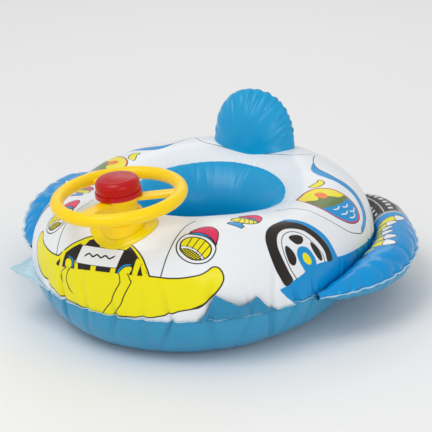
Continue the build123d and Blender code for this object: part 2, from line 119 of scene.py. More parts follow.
def outwards(bearing):
    """Level direction away from the ring's middle."""
    turn = np.radians(bearing)
    return np.stack([np.cos(turn), np.sin(turn), np.zeros_like(turn)], -1)


def ring_at(bearing, lift):
    radius, height = ring_section(bearing, lift)
    turn = np.radians(bearing)
    return np.stack([radius * np.cos(turn), RING_Y + radius * np.sin(turn), height], -1)


def ring_normal(bearing, lift):
    along = ring_at(bearing + 0.1, lift) - ring_at(bearing - 0.1, lift)
    across = ring_at(bearing, lift + 0.1) - ring_at(bearing, lift - 0.1)
    normal = np.cross(along, across)
    return normal / np.maximum(np.linalg.norm(normal, axis=-1, keepdims=True), 1e-12)


def seam_lift(bearing):
    """Lift of the outer weld."""
    return -np.degrees(np.arcsin(1 - SEAM_HEIGHT / ring_size(bearing)[2]))


def seat_lift(bearing, level=SEAT_LEVEL):
    """Lift of the inner weld, at the foot of the well."""
    return 180 + np.degrees(np.arcsin(1 - level / ring_size(bearing)[2]))


def turned(angle):
    """The same angle between -180 and 180."""
    return (angle + 180) % 360 - 180


def make_puckers(count, jitter, depth, width, reach):
    """Place, depth, half width in degrees, reach and lean of each crease along a weld."""
    place = (np.arange(count) + rng.uniform(-jitter, jitter, count)) * 360 / count
    spans = depth, width, reach, (-0.08, 0.08)
    return list(zip(place, *(rng.uniform(*span, count) for span in spans)))


def puckers_at(places, depth, width, reach, lean):
    """Creases at listed places, each as make_puckers gives it."""
    spans = depth, width, reach, (-lean, lean)
    return [(place, *(rng.uniform(*span) for span in spans)) for place in places]


def creases(bearing, distance, puckers, stretch=1.0):
    """How far the film is drawn in by creases that start at a weld and die out with distance."""
    total = np.zeros_like(bearing)
    for place, depth, width, reach, lean in puckers:
        offset = turned(bearing - place - lean * distance * 1000)
        fade = np.exp(-1.5 * (distance / (reach * stretch)) ** 2)
        spread = width * (1 + 0.6 * distance / reach)
        fold = np.exp(-(offset / spread) ** 2) - 0.22 * np.exp(-(offset / (3 * spread)) ** 2)
        total += depth * fade * fold
    return total


deep = make_puckers(40, 0.30, (0.0030, 0.0078), (0.45, 0.95), (0.034, 0.085))
fine = make_puckers(150, 0.45, (0.0003, 0.0014), (0.25, 0.5), (0.008, 0.024))
rim_puckers = make_puckers(70, 0.45, (0.0004, 0.0013), (0.7, 1.3), (0.020, 0.055))


def swell(bearing, lift):
    """Slow unevenness of blown film."""
    b, t = np.radians(bearing), np.radians(lift)
    broad = np.sin(5 * b + 1.3) * np.sin(3 * t)
    return 0.0005 * (broad + 0.6 * np.sin(9 * b + 2 * t) + 0.5 * np.sin(14 * b - t))


def draw_in(bearing, lift):
    """Distance that the film lies inside the smooth ring."""
    seam = seam_lift(bearing)
    from_seam = np.abs(lift - seam) * pi / 180 * SECTION
    above = lift > seam
    depth = creases(bearing, from_seam, deep, np.where(above, 0.62, 1.0))
    depth += creases(bearing, from_seam, fine)
    from_rim = np.abs(lift - RIM_LIFT) * pi / 180 * SECTION
    depth += creases(bearing, from_rim, rim_puckers, np.where(lift > RIM_LIFT, 1.0, 0.35))
    depth += 0.0012 * np.exp(-(from_seam / 0.004) ** 2) + 0.0010 * np.exp(-(from_rim / 0.003) ** 2)
    return depth - swell(bearing, lift) * (1 - np.exp(-(from_seam / 0.03) ** 2))


# ------------------------------------------------------------------ building film sheets
def clear_selection():
    bpy.ops.object.select_all(action="DESELECT")


def grid_sheet(name, columns, rows, place, facing, attributes=None, merge=True):
    """A flat grid laid on place(u, v); facing(points) gives where its faces should look."""
    clear_selection()
    bpy.ops.mesh.primitive_grid_add(x_subdivisions=columns, y_subdivisions=rows, size=2)
    sheet = bpy.context.object
    sheet.name = name
    mesh = sheet.data
    flat = np.empty(len(mesh.vertices) * 3)
    mesh.vertices.foreach_get("co", flat)
    flat = flat.reshape(-1, 3)
    u, v = (flat[:, 0] + 1) / 2, (flat[:, 1] + 1) / 2
    points = place(u, v)
    mesh.vertices.foreach_set("co", points.ravel())
    for key, values in (attributes(u, v) if attributes else {}).items():
        mesh.attributes.new(key, "FLOAT", "POINT").data.foreach_set("value", values.astype(np.float32))
    mesh.update()
    finish_sheet(sheet, facing, merge)
    return sheet


def finish_sheet(sheet, facing, merge):
    """Closes the sheet's own joint, turns its faces the right way and shades it smooth."""
    mesh = sheet.data
    bpy.context.view_layer.objects.active = sheet
    sheet.select_set(True)
    bpy.ops.object.mode_set(mode="EDIT")
    bpy.ops.mesh.select_all(action="SELECT")
    if merge:
        bpy.ops.mesh.remove_doubles(threshold=0.00002)
    bpy.ops.object.mode_set(mode="OBJECT")
    normals = np.array([p.normal for p in mesh.polygons])
    centres = np.array([p.center for p in mesh.polygons])
    if np.sum(np.einsum("ij,ij->i", normals, facing(centres))) < 0:
        bpy.ops.object.mode_set(mode="EDIT")
        bpy.ops.mesh.select_all(action="SELECT")
        bpy.ops.mesh.flip_normals()
        bpy.ops.object.mode_set(mode="OBJECT")
    bpy.ops.object.shade_smooth()


def thicken(sheet, thickness):
    clear_selection()
    sheet.select_set(True)
    bpy.context.view_layer.objects.active = sheet
    solid = sheet.modifiers.new("thickness", "SOLIDIFY")
    solid.thickness, solid.offset = thickness, 0.0
    bpy.ops.object.modifier_apply(modifier=solid.name)
    return sheet


RING_MIDDLE_RADIUS, RING_MIDDLE_HEIGHT = 0.18, 0.09


def from_ring(points):
    """Direction from the middle line of the ring's tube to each point."""
    middle = np.array([0, RING_Y, RING_MIDDLE_HEIGHT])
    flat = points - middle
    flat[:, 2] = 0
    length = np.maximum(np.linalg.norm(flat, axis=1, keepdims=True), 1e-9)
    return points - (middle + flat / length * RING_MIDDLE_RADIUS)


def upwards(points):
    return np.tile(np.array([0.0, 0.0, 1.0]), (len(points), 1))


# ------------------------------------------------------------------ printing on the top sheet
LENGTH_AROUND = 0.270 * pi / 180      # metres of film to a degree of bearing
LENGTH_ACROSS = SECTION * pi / 180    # metres of film to a degree of lift
PRINT_SHIFT, PRINT_SHIFT_REACH = 4.7, 60  # the hood's printing sits this many degrees off the middle


def print_turn(offset):
    """Turn of the print from its middle line, from a bearing counted from the nose."""
    return offset + PRINT_SHIFT * np.exp(-(offset / PRINT_SHIFT_REACH) ** 2)


CUTS = 6                              # steps of a curve between two of its points


def smooth_outline(points, closed=True):
    """A curve through given points."""
    p = np.array(points, float)
    n = len(p)
    out = []
    for i in range(n if closed else n - 1):
        a, b, c, d = (p[(i + k) % n] if closed else p[min(max(i + k, 0), n - 1)] for k in (-1, 0, 1, 2))
        for t in np.arange(CUTS) / CUTS:
            out.append(0.5 * (2 * b + (c - a) * t + (2 * a - 5 * b + 4 * c - d) * t ** 2
                              + (3 * b - a - 3 * c + d) * t ** 3))
    if not closed:
        out.append(p[-1])
    return np.array(out)


def outline_distance(x, y, outline):
    """Signed distance to a closed outline, below zero inside it."""
    low, high = outline.min(0) - 0.02, outline.max(0) + 0.02
    near = (x > low[0]) & (x < high[0]) & (y > low[1]) & (y < high[1])
    result = np.full(x.shape, FAR)
    px, py = x[near], y[near]
    best = np.full(px.shape, 1e9)
    inside = np.zeros(px.shape, bool)
    a = outline[-1]
    for b in outline:
        edge = b - a
        length = max(edge @ edge, 1e-14)
        t = np.clip(((px - a[0]) * edge[0] + (py - a[1]) * edge[1]) / length, 0, 1)
        best = np.minimum(best, (px - a[0] - t * edge[0]) ** 2 + (py - a[1] - t * edge[1]) ** 2)
        if a[1] != b[1]:
            cross = (a[1] > py) != (b[1] > py)
            inside ^= cross & (px < (b[0] - a[0]) * (py - a[1]) / (b[1] - a[1]) + a[0])
        a = b
    distance = np.sqrt(best)
    result[near] = np.where(inside, -distance, distance)
    return result


def line_distance(x, y, line):
    """Signed distance to the side of an open line, and plain distance to it."""
    best, side = np.full(x.shape, FAR ** 2), np.full(x.shape, FAR)
    for a, b in zip(line[:-1], line[1:]):
        edge = b - a
        length = np.hypot(*edge)
        if length < 1e-7:
            continue
        t = np.clip(((x - a[0]) * edge[0] + (y - a[1]) * edge[1]) / length ** 2, 0, 1)
        d2 = (x - a[0] - t * edge[0]) ** 2 + (y - a[1] - t * edge[1]) ** 2
        s = ((x - a[0]) * edge[1] - (y - a[1]) * edge[0]) / length
        nearer = d2 < best
        side = np.where(nearer, np.sign(s) * np.sqrt(d2), side)
        best = np.minimum(best, d2)
    return side, np.sqrt(best)


def chart(points):
    """Given (bearing from the nose, lift) points as metres of film."""
    p = np.array(points, float)
    return np.stack([print_turn(p[:, 0]) * LENGTH_AROUND, p[:, 1] * LENGTH_ACROSS], -1)


# Each outline is (bearing from the nose, lift) in degrees, for the float's right side.
lamp_ring = [(18.0, 68.1), (16.6, 62.5), (15.9, 56), (15.9, 49.4), (16.6, 43.5), (18, 38.6), (19.9, 35.4),
             (22.3, 34.6), (24.5, 36.6), (26.1, 41.6), (27, 48.3), (27, 52.2), (26.4, 56.9), (25.1, 62),
             (23.3, 65.7), (21.1, 67.8), (19.2, 68.7)]
lamp_lens = [(16.9, 51.4), (17, 57.4), (18, 62), (19.4, 64.2), (21.2, 64.3), (23.3, 61.5), (24.8, 57),
             (25.7, 51.2), (25.5, 45.8), (24.7, 41.6), (23.7, 39.3), (22.3, 38.1), (20.7, 38.4), (19.2, 40.8),
             (17.9, 44.8), (17.1, 48)]
lamp_band = [(17.1, 52.6), (18.2, 53.1), (19.7, 52), (21.4, 49), (22.8, 44.2), (23.7, 39.6), (23, 38.4),
             (22.4, 42.1), (21.4, 45.5), (20, 48.7), (18.6, 50.1), (17.2, 49.7)]
lamp_mesh = [(17.2, 49.5), (18.6, 49.9), (20, 48.5), (21.4, 45.3), (22.4, 41.8), (22.9, 38.3), (20.7, 38.4),
             (19.2, 40.8), (17.9, 44.8)]
lamp_bars = [[(20, 63.5), (18.7, 53)], [(22.3, 63.2), (20.3, 50.9)], [(24, 59.5), (21.7, 47.4)],
             [(25.4, 54.1), (23.1, 44.2)]]
lid_blue = [(18.3, 68.5), (19.8, 70.6), (22.3, 70.5), (24.5, 66.7), (26.2, 61.2), (27.2, 52.7), (26.6, 55.9),
            (25.1, 62), (23.3, 65.7), (21.1, 67.8), (19.2, 68.7)]
lid_pink = [(19.1, 71.1), (20.9, 76), (23.1, 79.2), (25.5, 79.5), (27.2, 76.4), (28.1, 70.9), (28, 64.1),
            (27.4, 56.8), (27.2, 53.3), (26.2, 61.2), (24.5, 66.7), (22.3, 70.5)]
hood_line = [(12.5, 20.8), (13, 29.1), (13.6, 39.1), (14.4, 50.8), (15.3, 62.9), (16.5, 74.7), (17.9, 83.8),
             (20, 89.2)]
bumper = [(-4.9, 18), (2, 19.5), (9.5, 20.2), (12.4, 20.1), (14.9, 20), (17.7, 20.8), (20.3, 22.4),
          (22.7, 24.4), (24.5, 27.7), (25.7, 30.9), (26.7, 31.8), (27.8, 30.4), (28.7, 26.2), (29, 20.9),
          (28.4, 15.8), (27.4, 11.4), (26.1, 6.9), (25, 4.5), (24.2, 2.6), (22.7, 0.7), (20.1, -1.1),
          (17.5, -2.7), (15.5, -5), (13.2, -7.2), (10.3, -9.9), (6, -11.2), (2, -12.6), (-1, -14),
          (-4.9, -16)]
arch_outer = [(-22.5, 12.1), (-20.6, 18.8), (-18.1, 27.4), (-15.7, 35.7), (-13.2, 42.3), (-10.9, 48),
              (-8.4, 51.5), (-5.7, 54.8), (-3.1, 56.1), (-0.3, 54.5), (2.5, 50.5), (5, 44.9), (7.1, 37.2),
              (8.5, 28.4), (9.5, 20.4), (9.5, 10), (-22.5, 4)]
arch_inner = [(-20.7, 12.3), (-18.4, 21.5), (-15.8, 30.4), (-12.7, 38.8), (-10.4, 44.3), (-7.7, 49),
              (-5, 52.3), (-2.1, 53), (0.7, 50.6), (3.5, 46.3), (6.2, 36), (7.7, 28.1), (8.6, 20.4),
              (1.5, 18.9), (-6, 17), (-12, 14.6), (-16, 13.2)]
plate = [(-11.6, 38.3), (1.9, 42.2), (0.5, 23.2), (-12.8, 19.7)]
grille_bars = [[(-12.6, 38.0), (-10.9, 38.4), (-9.8, 46.5), (-11.6, 43)], [(-5.9, 40), (-4.2, 41),
                (-3.0, 54), (-4.8, 54)], [(0.4, 42), (2.2, 42.5), (3.4, 48), (1.6, 50)], [(-13.1, 22),
                (-12, 21), (-11.6, 13), (-12.9, 13)], [(-7.3, 23), (-5.6, 23), (-5.8, 14), (-7.4, 14)],
               [(-1, 24), (0.4, 24), (-0.1, 14), (-1.6, 14)], [(-18.7, 27), (-17.3, 27), (-18.1, 11),
                (-19.5, 11)], [(5.7, 36), (7.2, 33), (6.1, 17), (4.8, 17)], [(6.6, 34), (7.6, 30),
                (9.4, 18), (7.9, 18)]]
bullets = [[(1.4, 18.8), (2.0, 22.6), (3.0, 25.6), (4.4, 26.6), (4.6, 23.9), (3.7, 18.6)],
           [(-16.4, 13.6), (-16.6, 19.2), (-15.7, 21.3), (-14.4, 20.1), (-14.3, 13.9)]]
bullet_arcs = [[(1.0, 19.6), (1.5, 23.4), (2.7, 26.9), (4.0, 28.2)], [(-15.6, 23), (-14, 21.6),
                (-13.6, 16.5)]]
straps = [[(1.4, 18), (1.7, 13.2), (1.3, 9.2), (-3.6, -13.1)], [(3.8, 19.1), (4.4, 15.2), (4.5, 11.3),
           (-0.4, -12.8)], [(-16.1, 13.6), (-18.1, 8.2), (-18.6, 3.8), (-17.7, 0.1), (-16.6, -7),
           (-16.1, -11.2)], [(-14.5, 14), (-15.5, 9.3), (-15.7, 4.2), (-14.9, 0.8), (-13.6, -1.7)]]
shell_yellow = [(34.1, 89.2), (36.5, 90.7), (39.5, 88.9), (42.7, 83.3), (44.5, 77.8), (42.5, 77),
                (39.6, 78.8), (36.4, 83.4), (34.2, 87)]
shell_pink = [(37.7, 92.5), (40.3, 93.5), (43.8, 92.7), (47, 89.8), (48, 85.9), (47.5, 82.2), (45, 77.9),
              (44.5, 82.3), (42.6, 87.3)]
shell_blue = [(41.4, 88.9), (43.4, 86.6), (44.5, 82.3), (45.2, 78.1), (44.3, 77.4), (43.1, 82.9),
              (41.5, 86.9)]
shell_ribs = [[(36.4, 83.6), (38.6, 89)], [(38.6, 80.6), (40.2, 87.6)], [(40.4, 78.6), (41.6, 85)],
              [(42.2, 77.4), (43, 82)]]
ribbon = [(31.7, 83.2), (33, 85.3), (34.7, 83.4), (35.7, 84.9), (38.3, 80.2), (37.2, 78.4), (38.2, 75.5),
          (36.7, 73), (34.6, 77.9)]
tyre = [(48.3, 8.8), (46.3, 17.2), (44.4, 33.4), (43.8, 48.6), (44.4, 58.4), (46.5, 66.2), (50.4, 71),
        (55.8, 72.5), (59.7, 69.7), (63.8, 64), (66.8, 55), (69.3, 43.7), (71, 31.6), (71.2, 18.3),
        (68.2, 19.2), (68.2, 28.2), (67, 38.3), (65, 48), (62.6, 55.6), (58.8, 60.4), (54.4, 62.3),
        (50.8, 59.9), (48.7, 54), (47.8, 44.7), (48.5, 32.6), (49.9, 20.9), (51.2, 12)]
arch_blue = [(50.4, 71), (57.4, 74), (61.6, 71.8), (66.1, 65.1), (69.5, 55.2), (72.3, 42), (73.6, 28.1),
             (74.5, 14), (71.2, 14), (71, 31.6), (69.3, 43.7), (66.8, 55), (63.8, 64), (59.7, 69.7),
             (55.8, 71.5)]
rim_line = [(52.5, 13.1), (50.5, 24.2), (49.5, 37.9), (49.9, 48.9), (51.9, 55.8), (54.9, 58.2), (58.3, 56.7),
            (61.3, 51.7), (63.6, 43.4), (65.6, 32.6), (66.8, 25.3), (66.7, 19.4)]
wheel_holes = [[(53.8, 52.4), (55.5, 54.2), (58.4, 53.1), (60.3, 50.1), (60.1, 46.3), (58.6, 43.5),
                (56.2, 43.9), (54.6, 48)], [(51.1, 45.2), (52.3, 43), (53.6, 36.8), (53.9, 30.8),
                (53.2, 26.5), (52, 25.3), (50.7, 28.7), (50.2, 35.6), (50.3, 41.5)], [(63, 42.2),
                (64.2, 39.3), (65.5, 32.2), (66, 25.9), (65.6, 21.7), (64.2, 23.3), (62.9, 30.5),
                (62.4, 37.4)]]
hub_blue = [(55, 37), (56.5, 40.6), (58.5, 40.6), (60.5, 37.6), (61.9, 30.8), (62.5, 22), (61, 14),
            (57.3, 15), (55.5, 23.3), (54.6, 31.4)]
hub_yellow = [(57.3, 33.7), (58.4, 34.3), (59.6, 31.3), (60.3, 25.9), (59.9, 22.4), (58.7, 22.5),
              (57.2, 26.1), (56.8, 30.6)]
side_blue = [(45.7, 7), (48.3, 8.8), (51.2, 12), (57.3, 17.6), (63.6, 20.4), (68.2, 19.2), (74.2, 18.2),
             (79.7, 15.3), (88, 12.4), (98, 9.3), (106.5, 6.1), (118, 2), (128, -3), (136, -16),
             (52.9, -16), (52.2, -11), (48.2, 0)]
window = [(85.2, 99.1), (95.1, 100.2), (101, 95.9), (104.4, 89), (106.2, 80.3), (107.1, 71.1), (106.8, 62),
          (106.1, 53), (105, 44.6), (102.9, 37.9), (100.5, 34), (97.3, 33.2), (93.5, 35.6), (89.9, 41.2),
          (86.3, 51.7), (84.3, 64.1), (83, 77.5), (83.2, 90.7)]
sea = [(82, 69), (88, 66.5), (92, 62), (96, 60), (100, 57.5), (103.5, 56.4), (112, 56), (112, 20), (82, 20)]
hills = [(80, 69), (80, 86), (84.5, 88), (88, 83), (91, 79.5), (94.5, 82), (98, 76), (101, 66), (104, 62),
         (112, 57), (112, 52), (100, 54), (92, 58), (86, 64)]
island_sun = [(96.5, 87.8), (98.8, 86.5), (100, 82), (99.6, 77), (97.6, 74), (95.2, 74.6), (93.8, 79),
              (94.2, 84.5)]
sea_waves = [[(90, 59), (92.5, 57), (94.5, 58)], [(96.5, 54.5), (98.5, 52), (100.5, 53)],
             [(91.5, 50), (94, 47.6), (96, 48.4)], [(98, 46), (100.4, 43.6), (102.4, 45)],
             [(94.5, 41.6), (97, 39.4), (99, 40.4)]]
boomerang = [(106.3, 97.8), (109.6, 94.5), (112.2, 90.9), (114.9, 90.1), (115.3, 87.2), (112.8, 83.5),
             (109.3, 84.9), (105.8, 89.5), (105.2, 96.5)]
drop_band = [(138, 86.8), (132.1, 93), (126.8, 94.3), (121.5, 89.7), (118.1, 81.1), (116.2, 71.9),
             (114.1, 61.8), (112.2, 51.7), (109, 41.9), (106.3, 34.9), (102.6, 29.7), (97.4, 25.3),
             (96.9, 21.3), (100.7, 22.7), (106.3, 26.4), (109.7, 31.8), (113.1, 40.5), (116.2, 51),
             (118.4, 62), (120.3, 71.6), (124.9, 81.9), (130.6, 87.7)]
drop_line = [(167.4, 107.9), (153.2, 96.5), (149.5, 80), (148.4, 74), (144.5, 80.4), (138, 86.6),
             (130.6, 87.7), (124.9, 81.9), (120.3, 71.6), (118.4, 62), (116.2, 51), (113.1, 40.5),
             (109.7, 31.8), (106.3, 26.4), (100.7, 22.7), (96.9, 21.3), (93.2, 24.6), (88.6, 30.8),
             (84.1, 41.7), (81, 52.5), (78.3, 62.5), (76.3, 72.8), (73.1, 81.2), (69, 88.2), (60.5, 92.8)]
tail_line = [(167.4, 107.9), (174, 108.4), (180, 108.4)]
flank_line = [(141.5, 52), (131.9, 47), (125.4, 36.8), (121, 24)]
tail_bumper = [(181, 18), (170, 18.5), (164, 20), (160.5, 25), (158, 24), (157, 14), (159, 2), (164, -5),
               (181, -9)]
tail_lamp = [(163, 50), (164, 57), (167, 60), (170, 57), (171, 50), (170, 43), (167, 40), (164, 43)]
tail_lens = [(164.4, 50), (165.2, 54.5), (167, 56.5), (168.9, 54.5), (169.6, 50), (168.9, 45.5), (167, 43.5),
             (165.2, 45.5)]

plate_wave = [[(-9.8 + 1.3 * k, 28.4 + 0.38 * k + 2.8 * (k % 2)) for k in range(8)]]

# A centre shape is printed once, the others on both sides; a sharp one keeps its corners.
MIRRORED, CENTRE, SHARP, CENTRE_SHARP = "mirrored", "centre", "sharp", "centre sharp"
FILLS = {
    "ink_blue": [(side_blue, SHARP), (arch_blue, MIRRORED), (drop_band, MIRRORED), (hub_blue, MIRRORED)],
    "ink_lamp": [(lamp_ring, MIRRORED), (tail_lamp, MIRRORED)],
    "ink_lid": [(lid_blue, MIRRORED), (shell_blue, MIRRORED), (ribbon, SHARP)],
    "ink_pink": [(lid_pink, MIRRORED), (shell_pink, MIRRORED), (window, MIRRORED), (tail_lens, MIRRORED)],
    "ink_yellow": [(bumper, MIRRORED), (arch_outer, CENTRE), (lamp_lens, MIRRORED), (shell_yellow, MIRRORED),
                   (boomerang, MIRRORED), (tail_bumper, MIRRORED)],
    "ink_centre": [(hub_yellow, MIRRORED)],
    "ink_black": [(arch_inner, CENTRE), (tyre, MIRRORED)] + [(hole, MIRRORED) for hole in wheel_holes],
    "ink_bars": [(bar, CENTRE_SHARP) for bar in grille_bars] + [(bullet, CENTRE) for bullet in bullets],
    "ink_white": [(plate, CENTRE_SHARP), (lamp_band, MIRRORED)],
    "ink_mesh": [(lamp_mesh, MIRRORED)],
    "ink_window": [(window, MIRRORED)],
    "ink_hills": [(hills, MIRRORED)],
    "ink_sun": [(island_sun, MIRRORED)],
    "ink_sea": [(sea, SHARP)],
}
# Open lines, first those on both sides and then those printed once.
LINES = {
    "body_line": ([hood_line, drop_line, rim_line, tail_line, flank_line], []),
    "rib_line": (lamp_bars + shell_ribs, straps),
    "wave_line": (sea_waves, []),
    "arc_line": ([], bullet_arcs),
    "plate_line": ([], plate_wave),
}


def print_attributes(bearing, lift):
    """Signed distances to every printed outline, at each vertex of the top sheet."""
    offset = turned(bearing + 90)
    turn = np.where(offset <= -179.99, 180.0, print_turn(offset))
    x, y = turn * LENGTH_AROUND, lift * LENGTH_ACROSS
    out = {}
    for key, shapes in FILLS.items():
        best = np.full(x.shape, FAR)
        for points, kind in shapes:
            outline = chart(points)
            if "sharp" not in kind:
                outline = smooth_outline(outline)
            side = x if "centre" in kind else np.abs(x)
            best = np.minimum(best, outline_distance(side, y, outline))
        out[key] = best
    for key, (mirrored, central) in LINES.items():
        side, near = np.full(x.shape, FAR), np.full(x.shape, FAR)
        for lines, across in ((mirrored, np.abs(x)), (central, x)):
            for points in lines:
                s, d = line_distance(across, y, smooth_outline(chart(points), closed=False))
                side, near = np.where(d < near, s, side), np.minimum(near, d)
        out[key + "_side"], out[key + "_near"] = side, near
    return out


# ------------------------------------------------------------------ shared surface effects
def socket(tree, name, kind, side, value=None):
    made = tree.interface.new_socket(name=name, in_out=side, socket_type="NodeSocket" + kind)
    if value is not None:
        made.default_value = value
    return made


def wire(tree, kind, links=(), **values):
    """Adds a node, sets its properties or sockets, and links (socket, source) pairs."""
    node = tree.nodes.new("ShaderNode" + kind)
    for key, value in values.items():
        if hasattr(node, key):
            setattr(node, key, value)
        else:
            node.inputs[key.replace("_", " ")].default_value = value
    for name, source in links:
        tree.links.new(source, node.inputs[name])
    return node


def calc(tree, operation, a, b=None, c=None):
    node = tree.nodes.new("ShaderNodeMath")
    node.operation = operation
    for index, value in enumerate((a, b, c)):
        if value is None:
            continue
        if isinstance(value, (int, float)):
            node.inputs[index].default_value = value
        else:
            tree.links.new(value, node.inputs[index])
    return node.outputs[0]


def mix(tree, factor, first, second):
    node = tree.nodes.new("ShaderNodeMix")
    node.data_type, node.clamp_factor = "RGBA", True
    for index, value in ((0, factor), (6, first), (7, second)):
        if isinstance(value, (tuple, list)):
            node.inputs[index].default_value = (*value[:3], 1.0)
        elif isinstance(value, (int, float)):
            node.inputs[index].default_value = value
        else:
            tree.links.new(value, node.inputs[index])
    return node.outputs[2]


def ramp(tree, value, start, end):
    """Zero where a value is at start and one where it is at end."""
    return wire(tree, "MapRange", [("Value", value)], From_Min=start, From_Max=end).outputs[0]


def attribute(tree, key):
    return wire(tree, "Attribute", attribute_name=key).outputs["Fac"]


def blown_film_group():
    """Fine ripples, soft creases and haze of blown vinyl film."""
    tree = bpy.data.node_groups.new("blown_film", "ShaderNodeTree")
    socket(tree, "Crease", "Float", "INPUT", 0.3)
    socket(tree, "Haze", "Float", "INPUT", 0.2)
    socket(tree, "Normal", "Vector", "OUTPUT")
    socket(tree, "Roughness", "Float", "OUTPUT")
    socket(tree, "Dust", "Float", "OUTPUT")
    inputs, outputs = tree.nodes.new("NodeGroupInput"), tree.nodes.new("NodeGroupOutput")
    place = wire(tree, "TexCoord").outputs["Object"]
    ripple = wire(tree, "TexNoise", [("Vector", place)], Scale=38.0, Detail=3.0, Roughness=0.55)
    ripple = ripple.outputs["Fac"]
    grain = wire(tree, "TexNoise", [("Vector", place)], Scale=900.0, Detail=2.0).outputs["Fac"]
    stretched = wire(tree, "Mapping", [("Vector", place)], Scale=(1.0, 1.0, 0.25)).outputs[0]
    crease = wire(tree, "TexNoise", [("Vector", stretched)], Scale=70.0, Detail=4.0, Distortion=1.2)
    crease = crease.outputs["Fac"]
    height = calc(tree, "MULTIPLY_ADD", crease, inputs.outputs["Crease"], ripple)
    height = calc(tree, "MULTIPLY_ADD", grain, 0.02, height)
    bump = wire(tree, "Bump", [("Height", height)], Strength=0.22, Distance=0.0016).outputs[0]
    cloud = wire(tree, "TexNoise", [("Vector", place)], Scale=11.0, Detail=5.0).outputs["Fac"]
    rough = calc(tree, "MULTIPLY_ADD", cloud, 0.12, inputs.outputs["Haze"])
    tree.links.new(bump, outputs.inputs["Normal"])
    tree.links.new(rough, outputs.inputs["Roughness"])
    tree.links.new(cloud, outputs.inputs["Dust"])
    return tree


def moulding_group():
    """Faint mould texture, flow marks and rubbing on moulded plastic."""
    tree = bpy.data.node_groups.new("moulding", "ShaderNodeTree")
    socket(tree, "Base", "Float", "INPUT", 0.3)
    socket(tree, "Normal", "Vector", "OUTPUT")
    socket(tree, "Roughness", "Float", "OUTPUT")
    socket(tree, "Flow", "Float", "OUTPUT")
    inputs, outputs = tree.nodes.new("NodeGroupInput"), tree.nodes.new("NodeGroupOutput")
    place = wire(tree, "TexCoord").outputs["Object"]
    flow = wire(tree, "TexNoise", [("Vector", place)], Scale=24.0, Detail=3.0, Distortion=0.8).outputs["Fac"]
    grain = wire(tree, "TexNoise", [("Vector", place)], Scale=1400.0, Detail=2.0).outputs["Fac"]
    scuff = wire(tree, "TexNoise", [("Vector", place)], Scale=160.0, Detail=6.0, Roughness=0.7).outputs["Fac"]
    height = calc(tree, "MULTIPLY_ADD", grain, 0.12, flow)
    bump = wire(tree, "Bump", [("Height", height)], Strength=0.10, Distance=0.0008).outputs[0]
    rubbed = calc(tree, "MULTIPLY_ADD", scuff, 0.16, inputs.outputs["Base"])
    tree.links.new(bump, outputs.inputs["Normal"])
    tree.links.new(rubbed, outputs.inputs["Roughness"])
    tree.links.new(flow, outputs.inputs["Flow"])
    return tree


blown_film, moulding = blown_film_group(), moulding_group()


def new_material(name):
    material = bpy.data.materials.new(name)
    material.use_nodes = True
    return material, material.node_tree, material.node_tree.nodes["Principled BSDF"]


def surface(name, effects, specular, coat=0.0, coat_roughness=0.03, **amounts):
    """A material with one group of surface effects wired in; its colour is wired by the caller."""
    material, tree, shader = new_material(name)
    group = wire(tree, "Group", node_tree=effects, **amounts)
    for output in ("Normal", "Roughness"):
        tree.links.new(group.outputs[output], shader.inputs[output])
    shader.inputs["Specular IOR Level"].default_value = specular
    shader.inputs["Coat Weight"].default_value = coat
    shader.inputs["Coat Roughness"].default_value = coat_roughness
    return material, tree, shader, group


def film_material(name, colour, dark, haze=0.16, crease=0.35, alpha=1.0):
    """Glossy vinyl film in one colour, a little deeper where the film is hazy."""
    material, tree, shader, group = surface(name, blown_film, 0.32, 0.22, 0.30, Crease=crease, Haze=haze)
    tone = mix(tree, calc(tree, "MULTIPLY", group.outputs["Dust"], 0.55), colour, dark)
    tree.links.new(tone, shader.inputs["Base Color"])
    shader.inputs["Alpha"].default_value = alpha
    return material


def moulded_material(name, colour, dark, base):
    """Moulded plastic in one colour, with faint flow marks."""
    material, tree, shader, group = surface(name, moulding, 0.34, Base=base)
    tone = mix(tree, calc(tree, "MULTIPLY", group.outputs["Flow"], 0.5), colour, dark)
    tree.links.new(tone, shader.inputs["Base Color"])
    return material


WHITE = (0.84, 0.865, 0.89)
INK_BLUE, INK_PINK, INK_YELLOW = (0.0, 0.285, 0.66), (0.74, 0.025, 0.11), (0.87, 0.78, 0.0)
INK_BLACK, INK_GREEN, INK_ORANGE = (0.018, 0.013, 0.010), (0.13, 0.20, 0.045), (0.90, 0.20, 0.015)


INK_EDGE, LINE_EDGE = 0.00035, 0.0003     # half the width of a printed edge


def mask_of(tree, key, edge=0.0):
    """One inside an outline and zero outside it; an edge below zero draws it in."""
    return ramp(tree, attribute(tree, key), edge + INK_EDGE, edge - INK_EDGE)


def painted(tree, base, key, colour, line=None):
    """Lays one printed colour over base inside its outline, and a black edge of half width line."""
    base = mix(tree, mask_of(tree, key), base, colour)
    if line:
        away = calc(tree, "ABSOLUTE", attribute(tree, key))
        base = mix(tree, ramp(tree, away, line + INK_EDGE, line - INK_EDGE), base, INK_BLACK)
    return base


def ruled(tree, base, key, colour, width):
    """Lays an open printed line over base."""
    away = calc(tree, "ABSOLUTE", attribute(tree, key + "_side"))
    thin = ramp(tree, away, width + LINE_EDGE, width - LINE_EDGE)
    close = ramp(tree, attribute(tree, key + "_near"), 0.0030, 0.0024)
    return mix(tree, calc(tree, "MULTIPLY", thin, close), base, colour)


